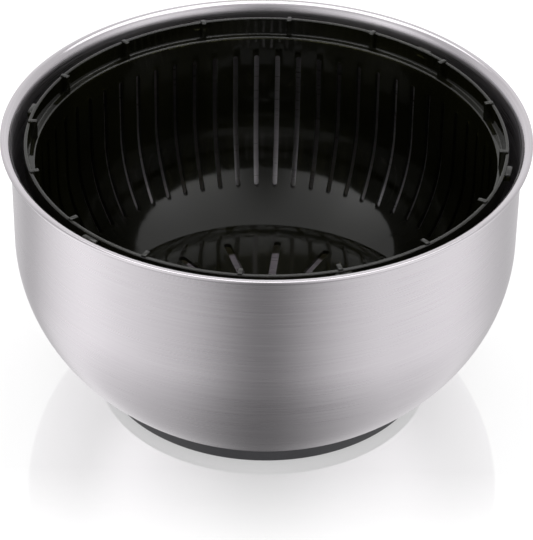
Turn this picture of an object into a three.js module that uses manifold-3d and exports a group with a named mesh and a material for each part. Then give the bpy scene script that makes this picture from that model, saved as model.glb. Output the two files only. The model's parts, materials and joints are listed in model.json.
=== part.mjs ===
// Salad spinner, in millimetres, +Z up, front at -Y. The origin is on the bowl's axis at the surface it
// stands on. The lid is drawn in its closed place over the bowl, and one group then lays it on its back
// beside the bowl, which is how it rests while the basket is filled.
import * as THREE from "three";
import { mergeVertices } from "three/addons/utils/BufferGeometryUtils.js";
import Module from "manifold-3d";

const wasm = await Module();
wasm.setup();

// ---------- driving sizes ----------
const roundSteps = 40;
const gap = 0.3; // between pieces that touch
const slack = 0.5; // between pieces that slide or turn on each other

const pad = { inset: 0.8, height: 7, edge: 1.5, topEdge: 1 }; // inset from the bowl's own underside
const bowl = {
  wallRadius: 127.6, wall: 0.8, // sheet steel, the same thickness all over
  rimHeight: 143.3, // height of the rim's top above the surface it stands on
  curveTop: 85, // above this height the wall is upright
  curveDepth: 106, // upright half axis of the ellipse below it
};
// The flared lip with its folded edge.
const rim = { overhang: 4.9, flare: 4.7, hem: 1.9, hemWidth: 1.5, edge: 0.45 };
const cone = { baseRadius: 17, topRadius: 7, height: 19, tip: 3.4, roundOff: 0.6 };
const basket = {
  clearance: 5.8, // between its ring and the bowl
  ring: 2, ringInset: 3.3, // the ring's wall, and how far the basket's own wall stands inside it
  belowRim: 4.5, ledgeDrop: 9.5,
  wall: 2.2, floor: 2.2, floorLift: 15.9, // room for the drained water
  curveLift: 13, // how much shallower its curve is than the bowl's
};
const rib = { count: 16, width: 2.4, depth: 3, phase: 17, aboveRing: 0.8, edge: 0.3 };
const tab = { count: 6, width: 9, height: 5, reach: 2.6, phase: 47.5 };
const slot = { count: 64, width: 2.6, aboveFloor: 18, belowLedge: 9.1 };
const drain = { count: 16, width: 4, fromHub: 12, fromEdge: 16.8 };
const hub = { sides: 6, wall: 2.6, aboveFloor: 9.9, corner: 2, rimRoom: 8 };

const lid = {
  deck: 2.6, wall: 2.6, inset: 1.5, // inset from the rim's edge
  edgeSetback: 6, edgeWidth: 13, edgeRound: 0.8, // raised edge that the lid lies on
  shoulderDrop: 8, shoulderRise: 10.5, lean: 3, // the outside's rounded shoulder, from the deck's height
  skirtClearance: 5.4, skirt: 2, skirtDrop: 2,
  headroom: 1.9, // over the gears
};
const seal = { wall: 0.4, thickness: 1.6, drop: 1.5, fromWall: 2.4 };
const besideGap = 66.5; // between the bowl's rim and the lid lying beside it

const gear = { module: 1.5, width: 5, angle: 25, backlash: 0.36, addendum: 0.85, dedendum: 1.2 };
const teeth = { segment: 48, small: 16, large: 32, pinion: 16 };
const swing = 60; // travel of the lever, in degrees
const leverPlace = new THREE.Vector2(-60, 0);
const lever = {
  tipClearance: 9.5, // from its tip to the lid's raised edge
  hub: 17, tipHalfWidth: 11, tipRound: 14,
  waistAt: 0.45, waistShare: 0.72, // shares of the length and of the tip's width
  lift: 0.8, thickness: 4.4, shaft: 5, square: 7, parked: -30,
};
const grip = { length: 42, fromTip: 8, halfWidth: 6.5, thickness: 0.9, belowEdge: 0.6 };
const bush = { wall: 1.4, flange: 1.8, flangeThickness: 1 };
const mainShaft = { radius: 4, square: 6 };
const axle = { radius: 2.5 };
const cover = {
  thickness: 2.5, aboveDisc: 1.5, postRadius: 4, postClearance: 3, margin: 7, springPostWall: 1.8,
};
const gearGap = { low: 2, between: 1.5 }; // under the low gears, and between the low and the high ones
const screw = { shank: 1.5, head: 3.4, headHeight: 1.8, bite: 9 };
const disc = { clearance: 1.6, thickness: 2.4, hub: 11, hubDrop: 3.6 };
const dog = { count: 4, clearance: 2, depth: 4, width: 7, aboveLedge: 6.9 };
const vent = { count: 12, width: 5, inner: 42, fromDogs: 15 };
const brake = {
  edgeGap: 14, wellWall: 1.8, wellDepth: 10, wellFloor: 2, cap: 14.6, capHeight: 4, belowEdge: 1, stem: 3.8,
};
const brakePad = { radius: 8, thickness: 2.4, travel: 2.8, plug: 1.6 };
const lock = { length: 10, halfWidth: 4, neck: 1.6, foot: 3.4, travel: 9, height: 5, clearOfLever: 1 };
const spring = { wire: 0.6, turns: 3, brakeTurns: 4, clearOfStem: 4, sides: 5, stepsPerTurn: 12 };

// ---------- sizes that follow ----------
const radians = THREE.MathUtils.degToRad;
const bowlBottom = pad.height + gap;
const bowlFloorTop = bowlBottom + bowl.wall;
const innerRadius = bowl.wallRadius - bowl.wall;
const rimRadius = bowl.wallRadius + rim.overhang;
const coneTop = bowlFloorTop + cone.height + cone.tip;
const padRadius = widthAt(bowl.wallRadius, bowl.curveDepth, bowlBottom) - pad.inset;
const hubLow = bowlFloorTop + hub.aboveFloor;
const hubTop = coneTop + gap + hub.wall;
const hubCorner = cone.topRadius + slack + hub.wall + hub.corner;

const basketRing = innerRadius - basket.clearance;
const basketWall = basketRing - basket.ringInset;
const basketRingTop = bowl.rimHeight - basket.belowRim;
const basketLedge = basketRingTop - basket.ledgeDrop;
const basketFloor = bowlFloorTop + basket.floorLift;
const basketCurve = bowl.curveDepth - basket.curveLift;

const discBottom = bowl.rimHeight + gap;
const discTop = discBottom + disc.thickness;
const coverBottom = discTop + cover.aboveDisc;
const coverTop = coverBottom + cover.thickness;
const lowGear = coverTop + gearGap.low; // underside of the large gear and the pinion
const lowGearTop = lowGear + gear.width;
const highGear = lowGearTop + gearGap.between; // underside of the segment and the small gear
const highGearTop = highGear + gear.width;
const deckBottom = highGearTop + lid.headroom;
const deckTop = deckBottom + lid.deck;
const lidTop = deckTop + lever.lift + lever.thickness + gap + grip.thickness + grip.belowEdge;

const lidRadius = rimRadius - lid.inset;
const edgeOuter = lidRadius - lid.edgeSetback;
const edgeInner = edgeOuter - lid.edgeWidth;
const skirtRadius = innerRadius - lid.skirtClearance;
const discRadius = skirtRadius - lid.skirt - disc.clearance;
const dogOuter = basketRing - basket.ring - dog.clearance;
const dogInner = dogOuter - dog.depth;
const lidBeside = rimRadius + besideGap + lidRadius; // from the bowl's axis to the lid's, lying beside it

const radiusOf = (count) => (gear.module * count) / 2;
const tipOf = (count) => radiusOf(count) + gear.addendum * gear.module;
const lowReach = radiusOf(teeth.large) + radiusOf(teeth.pinion);
const highReach = radiusOf(teeth.segment) + radiusOf(teeth.small);
const mainPlace = new THREE.Vector2(0, 0);
const idlerPlace = meetingPoint(mainPlace, lowReach, leverPlace, highReach);
const leverWay = new THREE.Vector2(Math.cos(radians(lever.parked)), Math.sin(radians(lever.parked)));
const leverLength = reachTo(edgeInner - lever.tipClearance, leverPlace, leverWay);

// The half width of an ellipse, with its widest place at the top of the bowl's curve, at a height.
function widthAt(halfWidth, halfHeight, height) {
  return halfWidth * Math.sqrt(1 - ((bowl.curveTop - height) / halfHeight) ** 2);
}

// How far it is from a place, one way, to a circle about the main shaft.
function reachTo(radius, from, way) {
  const along = from.dot(way);
  return Math.sqrt(along ** 2 - from.lengthSq() + radius ** 2) - along;
}

// The point at the two distances from two places, on the +Y side.
function meetingPoint(a, fromA, b, fromB) {
  const apart = a.distanceTo(b);
  const along = (fromA ** 2 - fromB ** 2 + apart ** 2) / (2 * apart);
  const across = Math.sqrt(fromA ** 2 - along ** 2);
  const way = b.clone().sub(a).normalize();
  const side = new THREE.Vector2(way.y, -way.x);
  return a.clone().addScaledVector(way, along).addScaledVector(side, across);
}

// ---------- shapes ----------
function solidOf(geometry) {
  const bare = geometry.clone();
  bare.deleteAttribute("normal");
  bare.deleteAttribute("uv");
  const merged = mergeVertices(bare, 1e-4);
  return new wasm.Manifold(
    new wasm.Mesh({
      numProp: 3,
      vertProperties: new Float32Array(merged.attributes.position.array),
      triVerts: new Uint32Array(merged.index.array),
    }),
  );
}

// A profile of [radius, height] points, turned about Z. It starts and ends on the axis, or closes on itself.
function turned(points, steps = roundSteps) {
  const profile = points.map(([radius, height]) => new THREE.Vector2(radius, height));
  return solidOf(new THREE.LatheGeometry(profile, steps).rotateX(Math.PI / 2));
}

function closedRing(points, steps = roundSteps) {
  return turned([...points, points[0]], steps);
}

function cylinder(radius, low, high, steps = 20) {
  return turned([[0, low], [radius, low], [radius, high], [0, high]], steps);
}

function tube(inner, outer, low, high, steps = 20) {
  return closedRing([[inner, low], [outer, low], [outer, high], [inner, high]], steps);
}

function block(lowX, highX, halfY, low, high) {
  const geometry = new THREE.BoxGeometry(highX - lowX, 2 * halfY, high - low);
  return solidOf(geometry.translate((lowX + highX) / 2, 0, (low + high) / 2));
}

function plate(shape, low, high, curveSegments = 8) {
  const settings = { depth: high - low, bevelEnabled: false, curveSegments };
  return solidOf(new THREE.ExtrudeGeometry(shape, settings).translate(0, 0, low));
}

const turnedBy = (solid, degrees) => solid.rotate([0, 0, degrees]);
const movedTo = (solid, place) => solid.translate([place.x, place.y, 0]);

// The same solid at even steps round the axis, joined into one.
function around(solid, count, phase = 0) {
  const copies = [];
  for (let i = 0; i < count; i += 1) copies.push(turnedBy(solid, phase + (360 * i) / count));
  return wasm.Manifold.union(copies);
}

// Points on the lower quarter of an ellipse, from the height of its flat end up to its widest place.
function ellipseUp(halfWidth, halfHeight, centre, fromHeight, count) {
  const start = Math.asin((centre - fromHeight) / halfHeight);
  const points = [];
  for (let i = 0; i <= count; i += 1) {
    const turn = start * (1 - i / count);
    points.push([halfWidth * Math.cos(turn), centre - halfHeight * Math.sin(turn)]);
  }
  return points;
}

// A gear's outline with involute flanks. firstTooth is the angle of a tooth's middle, in degrees.
function gearShape(count, firstTooth, toothRange = [0, count]) {
  const pitch = radiusOf(count);
  const base = pitch * Math.cos(radians(gear.angle));
  const root = pitch - gear.dedendum * gear.module;
  const tip = pitch + gear.addendum * gear.module;
  const involute = (angle) => Math.tan(angle) - angle;
  const halfAtPitch = Math.PI / (2 * count) - gear.backlash / (2 * pitch);
  const flankSteps = 2;
  const shape = new THREE.Shape();
  const points = [];
  const halfAngle = (radius) =>
    halfAtPitch + involute(radians(gear.angle)) - involute(Math.acos(Math.min(1, base / radius)));
  for (let tooth = toothRange[0]; tooth < toothRange[1]; tooth += 1) {
    const middle = radians(firstTooth) + (2 * Math.PI * tooth) / count;
    const flank = [[root, halfAngle(Math.max(base, root))]];
    for (let i = 0; i <= flankSteps; i += 1) {
      const radius = Math.max(base, root) + ((tip - Math.max(base, root)) * i) / flankSteps;
      if (radius > root + 0.01) flank.push([radius, halfAngle(radius)]);
    }
    for (const [radius, half] of flank) points.push([radius, middle - half]);
    for (const [radius, half] of flank.reverse()) points.push([radius, middle + half]);
  }
  points.forEach(([radius, angle], i) => {
    const x = radius * Math.cos(angle);
    const y = radius * Math.sin(angle);
    if (i === 0) shape.moveTo(x, y);
    else shape.lineTo(x, y);
  });
  return shape;
}

// A coil spring about Z, as one bar swept along a helix.
function coil(radius, low, high, turns) {
  const points = [];
  const count = Math.round(turns * spring.stepsPerTurn);
  for (let i = 0; i <= count; i += 1) {
    const turn = (2 * Math.PI * i) / spring.stepsPerTurn;
    const height = low + spring.wire + ((high - low - 2 * spring.wire) * i) / count;
    points.push(new THREE.Vector3(radius * Math.cos(turn), radius * Math.sin(turn), height));
  }
  const section = new THREE.Shape();
  for (let i = 0; i < spring.sides; i += 1) {
    const turn = (2 * Math.PI * i) / spring.sides;
    const x = spring.wire * Math.cos(turn);
    const y = spring.wire * Math.sin(turn);
    if (i === 0) section.moveTo(x, y);
    else section.lineTo(x, y);
  }
  const extrudePath = new THREE.CatmullRomCurve3(points);
  return solidOf(new THREE.ExtrudeGeometry(section, { steps: count, bevelEnabled: false, extrudePath }));
}

// ---------- finishes ----------
const finish = (color, roughness, metalness = 0) =>
  new THREE.MeshStandardMaterial({ color, roughness, metalness });
const finishes = {
  steelSheet: finish("#b4b3b5", 0.32, 1),
  black: finish("#1d1d1f", 0.3),
  smoke: finish("#2b2a27", 0.15),
  rubber: finish("#4a4a4c", 0.75),
  grey: finish("#5b5c5e", 0.4),
  acetal: finish("#e6e3da", 0.4),
  steel: finish("#b9bbbd", 0.3, 1),
};

function named(name, solid, material) {
  const made = solid.getMesh();
  const geometry = new THREE.BufferGeometry();
  geometry.setAttribute("position", new THREE.BufferAttribute(made.vertProperties, 3));
  geometry.setIndex(new THREE.BufferAttribute(made.triVerts, 1));
  geometry.computeVertexNormals();
  const mesh = new THREE.Mesh(geometry, material);
  mesh.name = name;
  return mesh;
}

// ---------- bowl, pad and pivot ----------
function bowlSolid() {
  const outer = ellipseUp(bowl.wallRadius, bowl.curveDepth, bowl.curveTop, bowlBottom, 6);
  const inner = ellipseUp(innerRadius, bowl.curveDepth - bowl.wall, bowl.curveTop, bowlFloorTop, 6);
  const top = bowl.rimHeight;
  const coneShoulder = bowlFloorTop + cone.height;
  const hemInner = rimRadius - rim.hemWidth;
  return turned([
    [0, coneTop - bowl.wall],
    [cone.topRadius / 2, coneTop - cone.roundOff - bowl.wall],
    [cone.topRadius - bowl.wall, coneShoulder],
    [cone.baseRadius - bowl.wall, bowlBottom],
    ...outer,
    ...flareOut(bowl.wallRadius, hemInner, top - bowl.wall, rim.flare),
    [hemInner, top - rim.hem],
    [rimRadius - rim.edge, top - rim.hem],
    [rimRadius, top - rim.hem + rim.edge],
    [rimRadius, top - rim.edge],
    [rimRadius - rim.edge, top],
    ...flareOut(innerRadius, hemInner, top, rim.flare + bowl.wall).reverse(),
    ...inner.reverse(),
    [cone.baseRadius, bowlFloorTop],
    [cone.topRadius, coneShoulder],
    [cone.topRadius / 2, coneTop - cone.roundOff],
    [0, coneTop],
  ]);
}

// A quarter round that leads an upright wall out to a level lip.
function flareOut(fromRadius, toRadius, top, height) {
  const points = [];
  const count = 3;
  for (let i = 0; i <= count; i += 1) {
    const turn = (Math.PI * i) / (2 * count);
    points.push([
      toRadius - (toRadius - fromRadius) * Math.cos(turn),
      top - height * (1 - Math.sin(turn)),
    ]);
  }
  return points;
}

function padSolid() {
  return turned([
    [0, 0],
    [padRadius - pad.edge, 0],
    [padRadius, pad.edge],
    [padRadius, pad.height - pad.topEdge],
    [padRadius - pad.topEdge, pad.height],
    [0, pad.height],
  ]);
}

// The hub's six-sided outside, grown by a clearance. The basket's socket uses it too.
function hubOutside(grow, low, high) {
  const slope = (cone.baseRadius - cone.topRadius) / cone.height;
  const atLow = hubCorner + grow + slope * (high - low);
  return turned([[0, low], [atLow, low], [hubCorner + grow, high], [0, high]], hub.sides);
}

function hubSolid() {
  const shoulder = bowlFloorTop + cone.height;
  const inside = turned([
    [0, bowlFloorTop],
    [cone.baseRadius + slack, bowlFloorTop],
    [cone.topRadius + slack, shoulder],
    [cone.topRadius / 2 + slack, coneTop - cone.roundOff + slack],
    [0, coneTop + gap],
  ]);
  return hubOutside(0, hubLow, hubTop).subtract(inside);
}

// ---------- basket ----------
function basketSolid() {
  const inside = basketWall - basket.wall;
  const floorTop = basketFloor + basket.floor;
  const outerCurve = ellipseUp(basketWall, basketCurve, bowl.curveTop, basketFloor, 5);
  const innerCurve = ellipseUp(inside, basketCurve - basket.wall, bowl.curveTop, floorTop, 5);
  const ledgeBottom = basketLedge - basket.wall;
  const ringInside = basketRing - basket.ring;
  const socketTop = hubTop + gap;
  const shell = turned([
    [0, basketFloor],
    ...outerCurve,
    [basketWall, ledgeBottom],
    [basketRing, ledgeBottom],
    [basketRing, basketRingTop],
    [ringInside, basketRingTop],
    [ringInside, basketLedge],
    [inside, basketLedge],
    ...innerCurve.reverse(),
    [hubCorner + hub.rimRoom + 1, floorTop],
    [hubCorner + hub.rimRoom / 2, socketTop + 1],
    [hubCorner + hub.rimRoom / 4, socketTop + basket.floor],
    [0, socketTop + basket.floor],
  ]);
  const ribs = around(
    block(ringInside - rib.depth, basketRing - rib.edge, rib.width / 2,
      basketLedge - 1, basketRingTop + rib.aboveRing),
    rib.count, rib.phase);
  const tabs = around(
    block(basketRing - 1, basketRing + tab.reach, tab.width / 2,
      basketRingTop - tab.height, basketRingTop - 1),
    tab.count, tab.phase);
  const slots = around(
    block(basketWall / 2, basketWall + 1, slot.width / 2,
      basketFloor + slot.aboveFloor, ledgeBottom - slot.belowLedge),
    slot.count, rib.phase + 180 / slot.count);
  const bottomRadius = widthAt(basketWall, basketCurve, basketFloor);
  const drains = around(
    block(hubCorner + hub.rimRoom + drain.fromHub, bottomRadius - drain.fromEdge, drain.width / 2,
      basketFloor - 1, floorTop + 1),
    drain.count, rib.phase);
  const socket = hubOutside(slack, basketFloor - 1, socketTop);
  return shell.add(ribs).add(tabs).subtract(slots).subtract(drains).subtract(socket);
}

// ---------- lid, in its closed place ----------
const leverBushOuter = lever.shaft + slack + bush.wall;
const shaftBushOuter = mainShaft.radius + slack + bush.wall;
const bossWall = 2.6;
const bossLift = 0.7; // over the gears
const axleBite = 1.2; // of the idler's axle in the deck
const leverBossBottom = highGearTop + bossLift;
const shaftBossBottom = highGear;
const axleTop = deckBottom + axleBite;
const wellRadius = brake.cap + gap + 0.1;
const wellBottom = deckTop - brake.wellDepth;
const wellFloor = wellBottom + brake.wellFloor;
const brakePlace = new THREE.Vector2(0, wellRadius + brake.wellWall + brake.edgeGap - edgeInner);
const springSpace = { low: coverTop + 1.4, high: highGear - 1 };
const headPocket = screw.head + slack;

// The lock sits just past the lever's tip and slides in beside it.
const lockTurn = THREE.MathUtils.radToDeg(
  (lever.tipHalfWidth + lock.clearOfLever + lock.halfWidth) / (leverLength - lock.travel / 2));
const lockAngle = lever.parked + lockTurn;
const lockStart = leverLength + 2;

// A piece drawn along +X from the lever's axis, turned to its angle and put there.
const fromLever = (solid, degrees) => movedTo(turnedBy(solid, degrees), leverPlace);

// Each post of the gearbox cover stands at a bearing from one of the gears, clear of the teeth.
const postRoom = cover.postRadius + cover.postClearance;
const postPlaces = [
  [idlerPlace, tipOf(teeth.large) + postRoom, 27],
  [leverPlace, tipOf(teeth.segment) + postRoom, 100],
  [leverPlace, radiusOf(teeth.segment) - cover.postRadius, -103],
  [mainPlace, radiusOf(teeth.segment) - cover.postRadius, -77],
].map(([from, reach, degrees]) => new THREE.Vector2(
  from.x + reach * Math.cos(radians(degrees)),
  from.y + reach * Math.sin(radians(degrees))));
const coverMiddle = new THREE.Vector2(
  postPlaces.reduce((sum, place) => sum + place.x, 0) / postPlaces.length,
  postPlaces.reduce((sum, place) => sum + place.y, 0) / postPlaces.length);
const coverRadius = Math.max(...postPlaces.map((place) => place.distanceTo(coverMiddle))) + cover.margin;

function lidShellSolid() {
  const inside = lidRadius - lid.wall;
  const foot = bowl.rimHeight + gap;
  const web = foot + seal.thickness + seal.wall;
  const shoulder = deckTop - lid.shoulderDrop;
  const shell = turned([
    [0, deckBottom],
    [edgeInner + lid.wall, deckBottom],
    [edgeInner + lid.wall + lid.edgeRound, lidTop - lid.wall],
    [edgeOuter - lid.wall, lidTop - lid.wall],
    [inside - lid.lean / 3, shoulder + lid.shoulderRise / 2.6],
    [inside, shoulder],
    [inside, web + lid.skirt],
    [skirtRadius - lid.skirt, web + lid.skirt],
    [skirtRadius - lid.skirt, bowl.rimHeight - lid.skirtDrop],
    [skirtRadius, bowl.rimHeight - lid.skirtDrop],
    [skirtRadius, web],
    [inside, web],
    [inside, foot],
    [lidRadius, foot],
    [lidRadius, shoulder],
    [lidRadius - lid.lean / 4, shoulder + lid.shoulderRise / 2],
    [lidRadius - lid.lean, shoulder + lid.shoulderRise],
    [edgeOuter, lidTop],
    [edgeInner + 2 * lid.edgeRound, lidTop],
    [edgeInner + lid.edgeRound, lidTop - lid.edgeRound],
    [edgeInner, deckTop],
    [0, deckTop],
  ]);
  const bosses = [
    movedTo(cylinder(leverBushOuter + gap + bossWall, leverBossBottom, deckTop - 1), leverPlace),
    cylinder(shaftBushOuter + gap + bossWall, shaftBossBottom, deckTop - 1),
    movedTo(cylinder(wellRadius + brake.wellWall, wellBottom, deckTop - 1), brakePlace),
    ...postPlaces.map((place) => movedTo(cylinder(cover.postRadius, coverTop + gap, deckTop - 1, 16), place)),
  ];
  const holes = [
    movedTo(cylinder(leverBushOuter + gap, leverBossBottom - 1, deckTop + 1), leverPlace),
    cylinder(shaftBushOuter + gap, shaftBossBottom - 1, highGearTop + bossLift),
    movedTo(cylinder(axle.radius + gap, deckBottom - 1, axleTop + gap, 16), idlerPlace),
    movedTo(cylinder(wellRadius, wellFloor, deckTop + 1), brakePlace),
    movedTo(cylinder(brake.stem + slack, wellBottom - 1, deckTop + 1), brakePlace),
    ...postPlaces.map((place) => movedTo(
      cylinder(screw.shank + gap, coverTop - 1, coverTop + screw.bite + gap, 12), place)),
    fromLever(
      block(lockStart - lock.travel, lockStart + lock.length, lock.neck + gap, deckBottom - 1, deckTop + 1),
      lockAngle),
  ];
  return wasm.Manifold.union([shell, ...bosses]).subtract(wasm.Manifold.union(holes));
}

function lidSealSolid() {
  const inner = skirtRadius + gap;
  const outer = lidRadius - lid.wall - gap;
  const high = bowl.rimHeight + gap + seal.thickness;
  const low = bowl.rimHeight - seal.drop;
  return closedRing([
    [inner, low],
    [innerRadius - seal.fromWall + seal.wall, low],
    [outer, bowl.rimHeight + gap],
    [outer, high],
    [inner, high],
  ]);
}

function leverBushSolid() {
  const inner = lever.shaft + slack;
  return closedRing([
    [inner, leverBossBottom - gap],
    [leverBushOuter, leverBossBottom - gap],
    [leverBushOuter, deckTop + gap],
    [leverBushOuter + bush.flange, deckTop + gap],
    [leverBushOuter + bush.flange, deckTop + gap + bush.flangeThickness],
    [inner, deckTop + gap + bush.flangeThickness],
  ], 20);
}

// The lever's arm rises over its own bush flange, which sits in a pocket under the lever's hub.
function leverSolid() {
  const low = deckTop + lever.lift;
  const high = low + lever.thickness;
  const widest = leverLength - lever.tipRound;
  const waist = leverLength * lever.waistAt;
  const waistHalfWidth = lever.tipHalfWidth * lever.waistShare;
  const arm = new THREE.Shape();
  arm.moveTo(0, -lever.hub);
  arm.lineTo(waist, -waistHalfWidth);
  arm.lineTo(widest, -lever.tipHalfWidth);
  arm.quadraticCurveTo(leverLength, -lever.tipHalfWidth, leverLength, 0);
  arm.quadraticCurveTo(leverLength, lever.tipHalfWidth, widest, lever.tipHalfWidth);
  arm.lineTo(waist, waistHalfWidth);
  arm.lineTo(0, lever.hub);
  arm.absarc(0, 0, lever.hub, Math.PI / 2, (3 * Math.PI) / 2, false);
  const pocketTop = deckTop + gap + bush.flangeThickness + gap;
  const pocket = cylinder(leverBushOuter + bush.flange + slack, low - 1, pocketTop);
  const shaft = cylinder(lever.shaft, highGearTop + gap, high - 1);
  const half = lever.square / 2;
  const square = block(-half, half, half, highGear + gap, highGearTop + gap + 0.5);
  const hole = cylinder(screw.shank + gap, highGear - 1, highGear + screw.bite, 12);
  const whole = plate(arm, low, high).subtract(pocket).add(shaft).add(square).subtract(hole);
  return fromLever(whole, lever.parked);
}

function leverGripSolid() {
  const low = deckTop + lever.lift + lever.thickness + gap;
  const end = leverLength - grip.fromTip - grip.halfWidth;
  const start = end - grip.length + grip.halfWidth;
  const shape = new THREE.Shape();
  shape.moveTo(start, -grip.halfWidth);
  shape.lineTo(end, -grip.halfWidth);
  shape.absarc(end, 0, grip.halfWidth, -Math.PI / 2, Math.PI / 2, false);
  shape.lineTo(start, grip.halfWidth);
  shape.absarc(start, 0, grip.halfWidth, Math.PI / 2, (3 * Math.PI) / 2, false);
  return fromLever(plate(shape, low, low + grip.thickness), lever.parked);
}

// ---------- gears ----------
const degreesOf = (from, to) => THREE.MathUtils.radToDeg(Math.atan2(to.y - from.y, to.x - from.x));
const highMesh = degreesOf(leverPlace, idlerPlace); // from the lever to the idler
const lowMesh = degreesOf(mainPlace, idlerPlace); // from the pinion to the idler

function segmentSolid() {
  const pitch = 360 / teeth.segment;
  const swept = Math.ceil(swing / pitch) + 1;
  const toothed = plate(gearShape(teeth.segment, highMesh, [-swept, 2]), highGear, highGearTop);
  const hubDisc = cylinder(lever.shaft + 7, highGear, highGearTop);
  const half = lever.square / 2 + gap;
  const hole = block(-half, half, half, highGear - 1, highGearTop + 1);
  const centre = new THREE.Shape();
  const rootRadius = radiusOf(teeth.segment) - gear.dedendum * gear.module - 0.5;
  const from = radians(highMesh - (swept - 0.2) * pitch);
  const to = radians(highMesh + 1.2 * pitch);
  centre.moveTo(0, 0);
  centre.absarc(0, 0, rootRadius + 1, from, to, false);
  centre.lineTo(0, 0);
  const web = plate(centre, highGear, highGearTop, 10);
  return movedTo(toothed.add(web).add(hubDisc).subtract(turnedBy(hole, lever.parked)), leverPlace);
}

function idlerSolid() {
  const small = gearShape(teeth.small, highMesh + 180 + 180 / teeth.small);
  const large = gearShape(teeth.large, lowMesh + 180 + 180 / teeth.large);
  const lowPart = plate(large, lowGear, lowGearTop);
  const neck = cylinder(radiusOf(teeth.small) - 3, lowGear + 1, highGear + 1);
  const highPart = plate(small, highGear, highGearTop);
  const hole = cylinder(axle.radius + slack, lowGear - 1, highGearTop + 1, 16);
  return movedTo(lowPart.add(neck).add(highPart).subtract(hole), idlerPlace);
}

function idlerAxleSolid() {
  const collar = cylinder(axle.radius + 2, coverTop + gap, coverTop + gap + 1.2, 16);
  return movedTo(cylinder(axle.radius, coverBottom + 0.8, axleTop, 16).add(collar), idlerPlace);
}

function pinionSolid() {
  const toothed = plate(gearShape(teeth.pinion, lowMesh), lowGear, lowGearTop);
  const shaft = cylinder(mainShaft.radius, discTop + gap, highGearTop + gap);
  const half = mainShaft.square / 2;
  const square = block(-half, half, half, discBottom - 1, discTop + gap + 0.5);
  const hole = cylinder(screw.shank + gap, discBottom - 2, discBottom + screw.bite, 12);
  return toothed.add(shaft).add(square).subtract(hole);
}

function shaftBushSolid(low, high) {
  return tube(mainShaft.radius + slack, shaftBushOuter, low, high);
}

function gearboxCoverSolid() {
  const sheet = movedTo(cylinder(coverRadius, coverBottom, coverTop, 36), coverMiddle);
  const springPost = movedTo(
    tube(headPocket, headPocket + cover.springPostWall, coverBottom, springSpace.high), leverPlace);
  const holes = [
    cylinder(shaftBushOuter + gap, coverBottom - 1, coverTop + 1),
    movedTo(cylinder(headPocket, coverBottom - 1, coverTop + 1), leverPlace),
    movedTo(cylinder(axle.radius + gap, coverBottom - 1, coverTop + 1, 16), idlerPlace),
    ...postPlaces.map((place) => movedTo(
      cylinder(screw.shank + gap, coverBottom - 1, coverTop + 1, 12), place)),
  ];
  return sheet.subtract(wasm.Manifold.union(holes)).add(springPost);
}

// A pan-head screw whose head's underside is at a height, with the shank going up.
function screwSolid(seat, bite, headRadius = screw.head, headHeight = screw.headHeight) {
  const driver = cylinder(headRadius * 0.4, seat - headHeight - 1, seat - headHeight * 0.5, 6);
  return turned([
    [0, seat - headHeight],
    [headRadius - 0.5, seat - headHeight],
    [headRadius, seat - headHeight + 0.6],
    [headRadius, seat],
    [screw.shank, seat],
    [screw.shank, seat + bite],
    [0, seat + bite],
  ], 16).subtract(driver);
}

// ---------- the disc that turns the basket ----------
function carrierSolid() {
  const flat = cylinder(discRadius, discBottom, discTop, roundSteps);
  const boss = cylinder(disc.hub, discBottom - disc.hubDrop, discTop);
  const half = mainShaft.square / 2 + gap;
  const square = block(-half, half, half, discBottom - 1 - gap, discTop + 1);
  const passage = cylinder(screw.shank + gap, discBottom - disc.hubDrop - 1, discTop, 12);
  const dogPhase = rib.phase + (360 / rib.count) * 1.5;
  const dogs = around(
    block(dogInner, dogOuter, dog.width / 2, basketLedge + dog.aboveLedge, discTop - 0.5),
    dog.count, dogPhase);
  const vents = around(
    block(vent.inner, dogInner - vent.fromDogs, vent.width / 2, discBottom - 1, discTop + 1),
    vent.count, dogPhase);
  return flat.add(boss).add(dogs).subtract(vents).subtract(square).subtract(passage);
}

// ---------- brake and lock ----------
function brakeButtonSolid() {
  const capTop = lidTop - brake.belowEdge;
  const capBottom = capTop - brake.capHeight;
  const stemBottom = discTop + gap + brakePad.travel + brakePad.thickness + slack + gap;
  const cap = turned([
    [0, capBottom],
    [brake.cap, capBottom],
    [brake.cap, capTop - 1],
    [brake.cap - 1, capTop],
    [0, capTop],
  ], 20);
  const stem = cylinder(brake.stem, stemBottom, capBottom + 1);
  const hole = cylinder(brakePad.plug + gap, stemBottom - 1, stemBottom + 4, 12);
  return movedTo(cap.add(stem).subtract(hole), brakePlace);
}

function brakePadSolid() {
  const low = discTop + slack + brakePad.travel;
  const high = low + brakePad.thickness;
  const face = cylinder(brakePad.radius, low, high);
  return movedTo(face.add(cylinder(brakePad.plug, low + 1, high + 3.5, 12)), brakePlace);
}

function brakeSpringSolid() {
  const low = wellFloor + gap;
  const high = lidTop - brake.belowEdge - brake.capHeight - gap;
  return movedTo(coil(brake.stem + spring.clearOfStem, low, high, spring.brakeTurns), brakePlace);
}

function leverSpringSolid() {
  const radius = headPocket + cover.springPostWall + slack + spring.wire;
  return movedTo(coil(radius, springSpace.low, springSpace.high, spring.turns), leverPlace);
}

function lockSliderSolid() {
  const low = deckTop + gap;
  const start = lockStart + gap;
  const end = lockStart + lock.length - gap;
  const thumb = block(start, end, lock.halfWidth, low, low + lock.height);
  const neck = block(start, end, lock.neck, deckBottom - 1, low + 1);
  const foot = block(start, end, lock.foot, deckBottom - 2, deckBottom - gap);
  return fromLever(thumb.add(neck).add(foot), lockAngle);
}

// ---------- assembly ----------
const spinner = new THREE.Group();
const lidGroup = new THREE.Group();

spinner.add(
  named("bowl", bowlSolid(), finishes.steelSheet),
  named("base_pad", padSolid(), finishes.rubber),
  named("pivot_hub", hubSolid(), finishes.acetal),
  named("basket", basketSolid(), finishes.smoke),
);

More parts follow.
